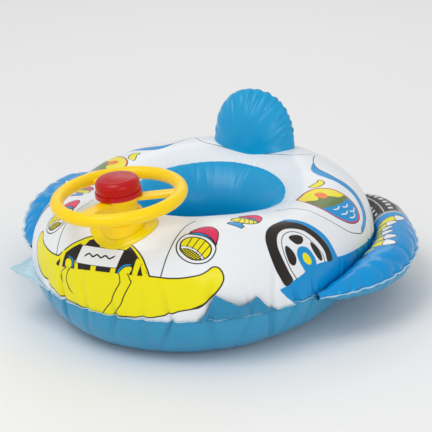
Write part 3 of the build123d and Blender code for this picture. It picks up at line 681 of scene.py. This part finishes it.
def printed_film():
    """White film with the car's printing."""
    material, tree, shader, group = surface("printed_film", blown_film, 0.22, 0.10, 0.20,
                                            Crease=0.25, Haze=0.20)
    colour = mix(tree, calc(tree, "MULTIPLY", group.outputs["Dust"], 0.35), WHITE, (0.78, 0.81, 0.85))
    for key, ink, line in (("ink_blue", INK_BLUE, None), ("ink_lamp", WHITE, 0.0009),
                           ("ink_lid", INK_BLUE, 0.0008), ("ink_pink", INK_PINK, 0.0008),
                           ("ink_yellow", INK_YELLOW, 0.0010),
                           ("ink_centre", INK_YELLOW, None), ("ink_black", INK_BLACK, None),
                           ("ink_bars", INK_YELLOW, None), ("ink_white", WHITE, 0.0005)):
        colour = painted(tree, colour, key, ink, line)
    # crossed ribs in the lower part of the lamps
    chart_place = wire(tree, "UVMap", uv_map="UVMap").outputs[0]
    parts = wire(tree, "SeparateXYZ", [("Vector", chart_place)])
    ribs = 0.0
    for lean in (1.0, -1.0):
        slant = calc(tree, "MULTIPLY_ADD", parts.outputs["X"], lean, parts.outputs["Y"])
        wave = calc(tree, "FRACT", calc(tree, "MULTIPLY", slant, 240.0))
        rib = ramp(tree, wave, 0.42, 0.34)
        ribs = rib if lean == 1.0 else calc(tree, "MAXIMUM", ribs, rib)
    colour = mix(tree, calc(tree, "MULTIPLY", ribs, mask_of(tree, "ink_mesh")), colour, INK_BLACK)
    # little seascape in the side window
    view = mix(tree, mask_of(tree, "ink_hills"), INK_YELLOW, INK_GREEN)
    view = mix(tree, mask_of(tree, "ink_sun"), view, INK_ORANGE)
    view = mix(tree, mask_of(tree, "ink_sea"), view, INK_BLUE)
    view = ruled(tree, view, "wave_line", WHITE, 0.0012)
    colour = mix(tree, mask_of(tree, "ink_window", -0.0030), colour, view)
    for key, ink, width in (("body_line", INK_BLACK, 0.0007), ("rib_line", INK_BLACK, 0.0007),
                            ("arc_line", INK_BLUE, 0.0010), ("plate_line", INK_BLACK, 0.0012)):
        colour = ruled(tree, colour, key, ink, width)
    tree.links.new(colour, shader.inputs["Base Color"])
    return material


TAIL_PANEL = 0.655                     # where the black tail panel starts, as a share of the tube's length


def tube_film_material():
    """Blue film with a row of leaves and a black tail panel; u runs from nose to tail, v across."""
    material, tree, shader, group = surface("printed_tube_film", blown_film, 0.22, 0.14, 0.14,
                                            Crease=0.8, Haze=0.10)
    parts = wire(tree, "SeparateXYZ", [("Vector", wire(tree, "UVMap", uv_map="UVMap").outputs[0])])
    u, v = parts.outputs["X"], parts.outputs["Y"]
    dust = calc(tree, "MULTIPLY", group.outputs["Dust"], 0.4)
    colour = mix(tree, dust, (0.0, 0.30, 0.69), (0.0, 0.24, 0.61))

    def band(value, low, high, soft=0.002):
        rise, fall = ramp(tree, value, low - soft, low + soft), ramp(tree, value, high + soft, high - soft)
        return calc(tree, "MULTIPLY", rise, fall)

    colour = painted(tree, colour, "ink_leaf", INK_YELLOW, line=0.0008)
    colour = painted(tree, colour, "ink_tip", WHITE, line=0.0006)
    colour = painted(tree, colour, "ink_dart", INK_PINK, line=0.0007)
    # tail panel with a row of windows and white lines
    colour = mix(tree, band(u, TAIL_PANEL, 1.2), colour, INK_BLACK)
    for low, high in ((-0.004, 0.001), (0.007, 0.010)):
        colour = mix(tree, band(u, TAIL_PANEL + low, TAIL_PANEL + high, 0.0008), colour, WHITE)
    for low, high in ((0.34, 0.352), (0.62, 0.632)):
        rail = calc(tree, "MULTIPLY", band(v, low, high, 0.004), band(u, TAIL_PANEL + 0.010, 1.2))
        colour = mix(tree, rail, colour, WHITE)
    pane = calc(tree, "FRACT", calc(tree, "MULTIPLY", u, 34.0))
    for low, high in ((0.22, 0.28), (0.45, 0.53), (0.74, 0.80)):
        panes = calc(tree, "MULTIPLY", band(v, low, high, 0.006), band(pane, 0.25, 0.75, 0.03))
        panes = calc(tree, "MULTIPLY", panes, band(u, TAIL_PANEL + 0.017, 1.2))
        colour = mix(tree, panes, colour, (0.66, 0.74, 0.78))
    tree.links.new(colour, shader.inputs["Base Color"])
    return material


cyan_film = film_material("cyan_film", (0.0, 0.36, 0.68), (0.0, 0.30, 0.61), haze=0.27)
steel_film = film_material("steel_blue_film", (0.030, 0.32, 0.55), (0.018, 0.26, 0.48), haze=0.22)
edge_film = film_material("edge_film", (0.55, 0.74, 0.84), (0.40, 0.64, 0.78), haze=0.14)
flap_film = film_material("corner_film", (0.012, 0.25, 0.46), (0.006, 0.19, 0.38), haze=0.2, crease=1.2)
patch_film = film_material("patch_film", (0.92, 0.74, 0.0), (0.88, 0.66, 0.0), haze=0.2, alpha=0.90)
top_film, tube_film = printed_film(), tube_film_material()
yellow_plastic = moulded_material("yellow_plastic", (1.0, 0.70, 0.0), (0.96, 0.60, 0.0), base=0.24)
red_plastic = moulded_material("red_plastic", (0.52, 0.0, 0.004), (0.43, 0.0, 0.003), base=0.2)
valve_vinyl = moulded_material("valve_vinyl", (0.70, 0.78, 0.82), (0.60, 0.70, 0.76), base=0.2)


def dress(piece, material, node, body="hull"):
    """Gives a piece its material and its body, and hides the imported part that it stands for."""
    piece.data.materials.clear()
    piece.data.materials.append(material)
    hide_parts(node)
    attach(piece, body)
    return piece


# ------------------------------------------------------------------ ring
COLUMNS = 720


def bearing_of(u):
    """Round the ring from the tail, so that the joint of the grid lies behind the backrest."""
    return u * 360 - 270


def laid(bearing, lift):
    """The ring's film, drawn in by its creases."""
    return ring_at(bearing, lift) - ring_normal(bearing, lift) * draw_in(bearing, lift)[:, None]


def top_lift(u, v):
    seam = seam_lift(bearing_of(u))
    return seam + (RIM_LIFT - seam) * v


def wall_lift(u, v):
    end = seat_lift(bearing_of(u))
    return RIM_LIFT + (end - RIM_LIFT) * v


def bottom_place(u, v):
    """From the outer weld, over the flat strip, to the inner weld."""
    b = bearing_of(u)
    outer, inner = seam_lift(b), seat_lift(b, SEAT_LEVEL - 0.001) - 360
    first, last = 0.46, 0.54
    lift = np.where(v < first, outer + (-90 - outer) * v / first,
                    np.where(v > last, -90.001 + (inner + 90.001) * (v - last) / (1 - last), -90.0))
    points = laid(b, lift)
    share = np.clip((v - first) / (last - first), 0, 1)
    flat = (v > first) & (v <= last)
    points -= outwards(b) * (2 * FOOT * share * flat)[:, None]
    points[:, 2] = np.maximum(points[:, 2], 0.0002)
    return points


def chart_uv(sheet, lift_of):
    """Scales the grid's own map to metres of film."""
    layer = sheet.data.uv_layers.active
    flat = np.empty(len(layer.data) * 2)
    layer.data.foreach_get("uv", flat)
    flat = flat.reshape(-1, 2)
    u, v = flat[:, 0], flat[:, 1]
    x = np.abs(print_turn(turned(bearing_of(u) + 90))) * LENGTH_AROUND
    layer.data.foreach_set("uv", np.stack([x, lift_of(u, v) * LENGTH_ACROSS], -1).ravel())


top_sheet = grid_sheet("top_sheet", COLUMNS, 100, lambda u, v: laid(bearing_of(u), top_lift(u, v)),
                       from_ring, lambda u, v: print_attributes(bearing_of(u), top_lift(u, v)))
chart_uv(top_sheet, top_lift)
dress(top_sheet, top_film, "hull_top_sheet")
well_wall = grid_sheet("well_wall", 540, 60, lambda u, v: laid(bearing_of(u), wall_lift(u, v)), from_ring)
dress(well_wall, cyan_film, "hull_well_wall")
bottom_sheet = grid_sheet("bottom_sheet", COLUMNS, 90, bottom_place, from_ring)
dress(bottom_sheet, steel_film, "hull_bottom_sheet")

# ------------------------------------------------------------------ weld margins and corners of film


STAND_OFF = 0.0005                    # a weld strip's film over the ring's
STRIP_THICKNESS, CORNER_THICKNESS = 0.0006, 0.0007


def margin_place(first, last, width, wave):
    """A narrow, wavy strip of film standing out from the outer weld."""
    def place(u, v):
        b = first + (last - first) * u
        seam = seam_lift(b)
        points = laid(b, seam) + ring_normal(b, seam) * STAND_OFF + outwards(b) * (width * v)[:, None]
        points[:, 2] += wave * (np.sin(np.radians(b) * 41) + 0.6 * np.sin(np.radians(b) * 67 + 1)) * v
        return points
    return place


for end_name, columns, place in (("front", 460, margin_place(-208, -28, 0.0022, 0.0003)),
                                 ("rear", 140, margin_place(68, 112, 0.0060, 0.0009))):
    margin = grid_sheet(f"{end_name}_weld_strip", columns, 2, place, upwards, merge=False)
    dress(thicken(margin, STRIP_THICKNESS), edge_film, f"{end_name}_weld_margin")


def folded_corner(u, v):
    """Film corner folded up against the ring, with two points and a loose crease between them."""
    stations = 0, 0.08, 0.22, 0.36, 0.5, 0.64, 0.76, 0.9, 1
    b = np.interp(u, stations, (21.5, 24, 26.4, 29.6, 33, 36, 38.2, 42, 46)) - 90
    tall = np.interp(u, stations, (0.5, 9, 21.5, 17, 13.5, 14, 17.5, 6.5, 0.5))
    lift = seam_lift(b) - 1 + tall * v
    stand = 0.0012 + 0.0065 * np.sin(np.clip(v, 0, 1) * pi * 0.62) * (0.35 + 0.65 * np.sin(u * pi))
    ripple = 0.0026 * np.sin(u * 15 + 0.6) + 0.0012 * np.sin(u * 37 + v * 2)
    stand += ripple * v ** 0.7 * np.sin(u * pi)
    return laid(b, lift) + ring_normal(b, lift) * stand[:, None]


right_corner = grid_sheet("right_corner_film", 70, 18, folded_corner, from_ring, merge=False)
dress(thicken(right_corner, CORNER_THICKNESS), flap_film, "right_corner_flap")


def flat_corner(u, v):
    """Film corner that sticks out on the left, curling up at its point."""
    b = -142.5 + 25 * u
    seam = seam_lift(b)
    share = np.interp(u, (0, 0.25, 0.5, 0.75, 1), (0.02, 0.45, 1.0, 0.42, 0.02))
    points = laid(b, seam) + ring_normal(b, seam) * 0.0008
    out = 0.6 * outwards(b) + 0.4 * outwards(-130.0)
    points += out * (0.040 * share * v)[:, None]
    points[:, 2] += share * (0.012 * v ** 2 - 0.003 * np.sin(v * pi) + 0.0012 * np.sin(u * 17) * v)
    return points


left_corner = grid_sheet("left_corner_film", 60, 24, flat_corner, upwards, merge=False)
dress(thicken(left_corner, CORNER_THICKNESS), edge_film, "left_corner_flap")

# ------------------------------------------------------------------ seat sheet with leg holes
LEG_X, LEG_Y, LEG_HALF_X, LEG_HALF_Y = 0.046, RING_Y - 0.012, 0.031, 0.052


def seat_sheet():
    """Round film floor of the well: rings of faces, with the leg holes cut and their rims drawn true."""
    def place(u, v):
        b = bearing_of(u)
        radius, _ = ring_section(b, seat_lift(b))
        across = outwards(b) * ((radius - 0.0006) * v)[:, None]
        x, y = across[:, 0], RING_Y + across[:, 1]
        sag = -0.0012 * (1 - v ** 2) * np.cos(x * 60)
        return np.stack([x, y, SEAT_LEVEL + sag + 0.0004 * np.sin(x * 160) * np.sin(y * 130)], -1)

    sheet = grid_sheet("seat_floor", 240, 90, place, upwards)
    mesh = sheet.data
    clear_selection()
    sheet.select_set(True)
    bpy.context.view_layer.objects.active = sheet

    def hole_share(co):
        """Below one inside a leg hole."""
        return min((((co[0] - s * LEG_X) / LEG_HALF_X) ** 2 + ((co[1] - LEG_Y) / LEG_HALF_Y) ** 2) ** 0.5
                   for s in (-1, 1))

    bpy.ops.object.mode_set(mode="EDIT")
    bpy.ops.mesh.select_all(action="DESELECT")
    bpy.ops.object.mode_set(mode="OBJECT")
    for polygon in mesh.polygons:
        polygon.select = hole_share(polygon.center) < 1.0
    bpy.ops.object.mode_set(mode="EDIT")
    bpy.ops.mesh.delete(type="FACE")
    bpy.ops.object.mode_set(mode="OBJECT")
    for vertex in mesh.vertices:
        share = hole_share(vertex.co)
        if 0.90 < share < 1.03:
            middle = LEG_X if vertex.co.x > 0 else -LEG_X
            vertex.co.x = middle + (vertex.co.x - middle) / share
            vertex.co.y = LEG_Y + (vertex.co.y - LEG_Y) / share
    return thicken(sheet, STRIP_THICKNESS)


seat = dress(seat_sheet(), cyan_film, "seat_sheet")

# ------------------------------------------------------------------ side tubes
TUBE_BEARINGS = (-29.5, -27, -17, -7, 4, 18, 32, 45, 54, 61, 67, 69)
TUBE_FULLNESS = (0.06, 0.26, 0.56, 0.82, 0.97, 1.0, 0.94, 0.91, 0.76, 0.46, 0.12, 0.02)
TUBE_WIDTH, TUBE_ROUNDNESS = 0.069, 0.90
LEFT_LEAN = 24                         # degrees at most that the left tube leans up about the ring's weld
tube_puckers = puckers_at((-24, -19.5, -15, -10, -6.5, -1, 5, 9.5, 16, 22, 29, 35, 41, 46, 51, 55, 59, 63),
                          (0.0012, 0.0042), (0.7, 1.7), (0.022, 0.05), 0.2)


def tube_bearing(u):
    return TUBE_BEARINGS[0] + (TUBE_BEARINGS[-1] - TUBE_BEARINGS[0]) * u


def tube_place(first_swing, last_swing, side):
    """Half of a side tube's film; a swing is an angle round the tube, 0 at its outer weld."""
    def place(u, v):
        b = tube_bearing(u)
        full = np.interp(b, TUBE_BEARINGS, TUBE_FULLNESS)
        for _ in range(2):
            full = (full + np.interp(b - 2.5, TUBE_BEARINGS, TUBE_FULLNESS)
                    + np.interp(b + 2.5, TUBE_BEARINGS, TUBE_FULLNESS)) / 3
        half_width = TUBE_WIDTH * full / 2
        half_height = half_width * TUBE_ROUNDNESS
        swing = np.radians(first_swing + (last_swing - first_swing) * v)
        from_outer = np.abs(swing) * half_width
        from_inner = (pi - np.abs(swing)) * half_width
        dent = creases(b, from_outer, tube_puckers) + 0.8 * creases(b + 1.5, from_inner, tube_puckers)
        dent = np.minimum(dent, half_width * 0.3)
        outer = ring_size(b)[0]
        across = half_width + (half_width - dent) * np.cos(swing)
        upward = (half_height - dent) * np.sin(swing)
        if side < 0:
            lean = radians(LEFT_LEAN) * np.clip((b + 24) / 22, 0, 1) * np.clip((31 - b) / 15, 0, 1)
            across, upward = (across * np.cos(lean) - upward * np.sin(lean),
                              across * np.sin(lean) + upward * np.cos(lean))
        height = SEAM_HEIGHT + upward
        _, inner, middle_height = ring_size(b)
        share = np.clip(np.abs(height / middle_height - 1), 0, 1)
        ring_radius = (outer + inner) / 2 + (outer - inner) / 2 * np.sqrt(1 - share ** 2)
        radius = np.maximum(outer + 0.0003 + across, ring_radius + 0.0005)
        turn = np.radians(b)
        return np.stack([side * radius * np.cos(turn), RING_Y + radius * np.sin(turn), height], -1)
    return place


def from_tube(points):
    """Direction from the middle line of a side tube to each point."""
    flat = points - np.array([0, RING_Y, SEAM_HEIGHT])
    angle = np.degrees(np.arctan2(flat[:, 1], np.abs(flat[:, 0])))
    middle = ring_size(angle)[0] + TUBE_WIDTH / 2
    length = np.maximum(np.hypot(flat[:, 0], flat[:, 1]), 1e-9)
    centre = flat * (middle / length)[:, None]
    centre[:, 2] = 0
    return flat - centre


# metres of film to a degree of bearing and to a degree of swing
TUBE_ALONG, TUBE_ACROSS = 0.285 * pi / 180, TUBE_WIDTH / 2 * pi / 180


def leaf(start, far, width):
    """A slanting leaf from the inner shoulder over the crest, as (bearing, swing)."""
    half, middle = width / 2, (158 + far) / 2
    return [(start - 0.4, 158), (start + 1.0 - half, middle + 12), (start + 2.4 - half, far + 16),
            (start + 3.6, far), (start + 3.0 + half, far + 18), (start + 1.6 + half, middle + 10),
            (start + 0.5, 152)]


def leaf_tip(start, far, width):
    """The white end of the same leaf."""
    half = width / 2
    return [(start + 2.0 - half, far + 30), (start + 2.4 - half, far + 16), (start + 3.6, far),
            (start + 3.0 + half, far + 18), (start + 2.6 + half, far + 32)]


leaves = [(27.0, 58, 3.0), (22.6, 84, 2.4), (18.4, 96, 1.9), (14.6, 92, 2.2), (10.4, 78, 2.8), (5.6, 70, 3.4)]
TUBE_FILLS = {
    "ink_leaf": [leaf(*k) for k in leaves] + [[(-0.6, 150), (1.6, 118), (3.4, 112), (2.6, 146)]],
    "ink_tip": [leaf_tip(*k) for k in leaves],
    "ink_dart": [[(-4.8, 162), (-3.4, 134), (-0.9, 126), (-2.0, 156)]],
}


def tube_attributes(u, v):
    """Signed distances to every outline printed on a side tube."""
    x, y = tube_bearing(u) * TUBE_ALONG, v * 180 * TUBE_ACROSS
    out = {}
    for key, shapes in TUBE_FILLS.items():
        best = np.full(x.shape, FAR)
        for points in shapes:
            outline = np.array(points, float) * (TUBE_ALONG, TUBE_ACROSS)
            best = np.minimum(best, outline_distance(x, y, smooth_outline(outline)))
        out[key] = best
    return out


def tube_strip(side):
    """The strip of film outside a tube's weld."""
    def place(u, v):
        b = tube_bearing(u)
        points = tube_place(0, 0, side)(u, np.zeros_like(u))
        points += outwards(b) * (side, 1, 1) * (0.0040 * v)[:, None]
        points[:, 2] += 0.0007 * np.sin(np.radians(b) * 60) * v
        return points
    return place


for side_name, side in (("left", -1), ("right", 1)):
    upper = grid_sheet(f"{side_name}_tube_upper", 400, 64, tube_place(0, 180, side),
                       from_tube, tube_attributes)
    dress(upper, tube_film, f"{side_name}_tube_upper_film")
    lower = grid_sheet(f"{side_name}_tube_lower", 300, 40, tube_place(0, -180, side), from_tube)
    dress(lower, steel_film, f"{side_name}_tube_lower_film")
    strip = grid_sheet(f"{side_name}_tube_strip", 300, 2, tube_strip(side), upwards, merge=False)
    dress(thicken(strip, STRIP_THICKNESS), edge_film, f"{side_name}_tube_weld_margin")

# ------------------------------------------------------------------ backrest pillow
BACK_Y = RING_Y + (OUTER[2] + INNER[2]) / 2
BACK_WIDTH, BACK_DEPTH, BACK_TOP, BACK_ROOT = 0.140, 0.082, 0.2752, 0.167
BACK_REACH = 0.075                     # metres of film from the pillow's edge to its middle
back_puckers = puckers_at((3, 9, 14, 22, 29, 36, 47, 55, 66, 79, 92, 103, 119, 134, 150, 163, 172),
                          (0.0012, 0.0052), (1.3, 3.4), (0.012, 0.032), 0.25)


def back_outline(angle):
    """Edge of the pillow by angle from its right-hand foot, over the top, to the left one."""
    c, s = np.cos(angle), np.sin(angle)
    x = BACK_WIDTH / 2 * np.sign(c) * np.abs(c) ** 0.93
    z = BACK_ROOT + (BACK_TOP - BACK_ROOT) * np.abs(s) ** 0.70
    return x, z


def back_place(front):
    """u goes along the edge from foot to foot and v from the edge to the middle of the root."""
    def place(u, v):
        angle = u * pi
        x, z = back_outline(angle)
        shrink = 1 - v
        px = x * shrink
        pz = BACK_ROOT + (z - BACK_ROOT) * shrink + 0.030 * v * np.sin(angle) ** 0.5
        bulge = BACK_DEPTH / 2 * (1 - shrink ** 2.3) ** 0.55
        fade = np.clip((pz - BACK_ROOT) / (BACK_TOP - BACK_ROOT), 0, 1)
        bulge = bulge * (1 - 0.35 * fade ** 2)
        dent = creases(np.degrees(angle), v * BACK_REACH, back_puckers)
        swellings = 0.0008 * np.sin(px * 130 + 1) * np.sin(pz * 110)
        depth = np.maximum(bulge - dent * (1 if front else 0.8) + swellings * v, 0.45 * bulge)
        return np.stack([px * (1 - dent * 1.2), BACK_Y + (-depth if front else depth), pz - dent * 0.25], -1)
    return place


def from_back(points):
    """Direction from the middle of the pillow to each point."""
    return points - np.array([0, BACK_Y, 0.22])


for panel, front in (("front", True), ("rear", False)):
    cushion = grid_sheet(f"backrest_{panel}", 260, 60, back_place(front), from_back)
    dress(cushion, cyan_film, f"backrest_{panel}_panel")


# ------------------------------------------------------------------ steering patch
steering_foot = np.array([-0.0127986, -0.2283426, 0.1967263])
steering_axis = np.array([-0.0799422, -0.0730038, 0.9941226])
PATCH_RADIUS, PATCH_SETBACK, PATCH_THICKNESS = 0.050, 0.004, 0.0007


def hood_height(x, y):
    """Height of the ring's top over a place."""
    dy = y - RING_Y
    b = np.degrees(np.arctan2(dy, x))
    outer, inner, half_height = ring_size(b)
    share = np.clip((np.hypot(x, dy) - (outer + inner) / 2) / ((outer - inner) / 2), -0.999, 0.999)
    full = np.where(share > 0, squareness(b), 2.0)
    return half_height * (1 + (1 - np.abs(share) ** full) ** (1 / full))


def patch_place(u, v):
    """A disc laid on the hood, its outline an ellipse seen along the steering axis."""
    turn = u * 2 * pi
    side_way = PATCH_RADIUS * v * np.cos(turn)
    along = PATCH_SETBACK + (PATCH_RADIUS - PATCH_SETBACK) * v * np.sin(turn)
    x, y = steering_foot[0] + side_way, steering_foot[1] + along
    for _ in range(3):
        z = hood_height(x, y)
        fall = (z - steering_foot[2]) / steering_axis[2]
        x = steering_foot[0] + side_way + steering_axis[0] * fall
        y = steering_foot[1] + along + steering_axis[1] * fall
    edge = np.clip((v - 0.86) / 0.14, 0, 1)
    return np.stack([x, y, z + 0.0011 + 0.0006 * np.sin(edge * pi) - 0.0006 * edge], -1)


patch = grid_sheet("steering_patch_disc", 120, 24, patch_place, upwards)
dress(thicken(patch, PATCH_THICKNESS), patch_film, "steering_patch")

# ------------------------------------------------------------------ squeeze bulb under the horn's cap
BULB_RADIUS, BULB_BOTTOM, BULB_TOP = 0.0196, 0.0458, 0.0674
bulb_x = np.cross([0.0, 1.0, 0.0], steering_axis)
bulb_x /= np.linalg.norm(bulb_x)
bulb_y = np.cross(steering_axis, bulb_x)
bulb_middle = steering_foot + steering_axis * (BULB_BOTTOM + BULB_TOP) / 2


def bulb_place(u, v):
    """A squat bellows turned about the steering axis, closed at its floor and its crown."""
    turn, climb = u * 2 * pi, (v - 0.5) * pi
    out, up_share = np.cos(climb), np.sin(climb)
    radius = BULB_RADIUS * np.abs(out) ** 0.5 * (1 - 0.03 * (1 + np.cos(climb * 10)))
    height = (BULB_TOP - BULB_BOTTOM) / 2 * np.sign(up_share) * np.abs(up_share) ** 0.6
    radius = np.where((v < 1e-6) | (v > 1 - 1e-6), 0.0, radius)
    return (bulb_middle + steering_axis * height[:, None]
            + (radius * np.cos(turn))[:, None] * bulb_x + (radius * np.sin(turn))[:, None] * bulb_y)


bulb = grid_sheet("squeeze_bulb", 64, 40, bulb_place, lambda points: points - bulb_middle)
dress(bulb, red_plastic, "horn_bulb", body="wheel")
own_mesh(bulb)

# ------------------------------------------------------------------ finishes on the carried-over fittings
for node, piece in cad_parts.items():
    if node in ("steering_wheel", "steering_socket"):
        finish = yellow_plastic
    elif node in ("horn_base", "horn_cap"):
        finish = red_plastic
    elif "valve" in node or node in ("squeaker_reed", "wheel_retaining_ring"):
        finish = valve_vinyl
    else:
        continue
    for material_slot in piece.material_slots:
        material_slot.material = finish

# ------------------------------------------------------------------ floor and studio light
clear_selection()
bpy.ops.mesh.primitive_plane_add(size=14, location=(0, 0, -0.0006))
floor = bpy.context.object
floor.name = "studio_floor"
floor_material, _, floor_shader = new_material("studio_floor")
floor_shader.inputs["Base Color"].default_value = (0.90, 0.90, 0.90, 1)
floor_shader.inputs["Roughness"].default_value = 0.8
floor.data.materials.append(floor_material)

world = bpy.data.worlds.new("studio")
world.use_nodes = True
background = world.node_tree.nodes["Background"]
background.inputs["Color"].default_value = (1, 1, 1, 1)
background.inputs["Strength"].default_value = 0.66
scene.world = world
scene.view_settings.view_transform = "Standard"


def soft_box(name, place, aim, size, power):
    data = bpy.data.lights.new(name, "AREA")
    data.shape, data.size, data.size_y, data.energy = "RECTANGLE", size[0], size[1], power
    lamp = bpy.data.objects.new(name, data)
    scene.collection.objects.link(lamp)
    lamp.location = place
    lamp.rotation_euler = (Vector(aim) - Vector(place)).to_track_quat("-Z", "Y").to_euler()


soft_box("key", (-0.5, -1.3, 2.4), (0, 0, 0.1), (1.5, 1.5), 23)
soft_box("side", (2.0, -1.8, 0.7), (0, 0, 0.1), (1.2, 0.9), 9)
soft_box("back", (-0.6, 2.0, 1.6), (0, 0, 0.15), (1.8, 0.8), 5)
